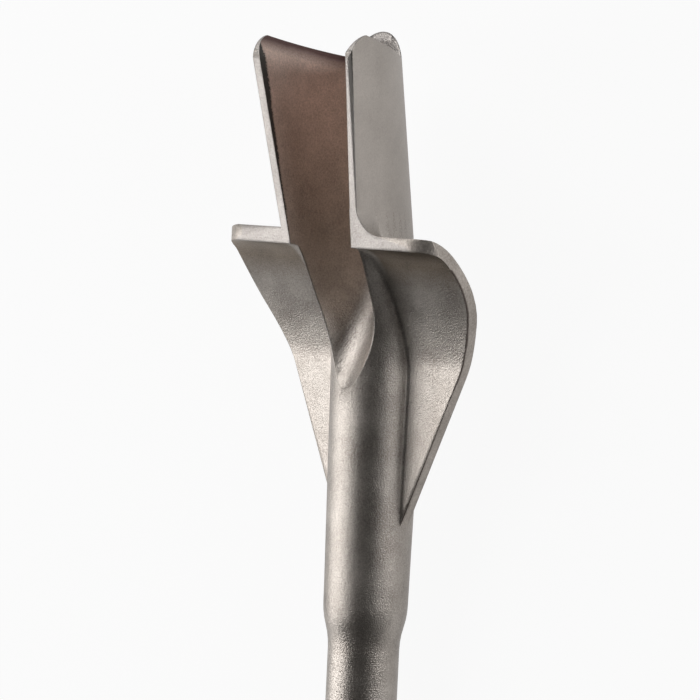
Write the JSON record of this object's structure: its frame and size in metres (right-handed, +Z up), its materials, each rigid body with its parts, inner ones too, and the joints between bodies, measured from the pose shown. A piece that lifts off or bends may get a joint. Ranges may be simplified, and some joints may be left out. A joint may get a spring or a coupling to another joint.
{
  "type": "gouge chisel",
  "caption": "Winged gouge chisel: a flared U-shaped channel with a three-lobed cutting edge, curled side wings and a stepped round shank with a slotted drive end.",
  "frame": {"origin": "centre of the footprint of the chisel lying on its back, at the height of the surface it rests on", "axes": "+X towards the cutting edge, +Z up with the channel's open side facing up, +Y towards the wing that touches the surface"},
  "size_m": [0.25, 0.0472, 0.0319],
  "materials": {
    "forged_steel": "blasted bare steel, matt satin grey with a warm tone, brighter on the ground rims"
  },
  "bodies": {
    "root": {"gouge_chisel": "forged_steel"}
  },
  "joints": []
}
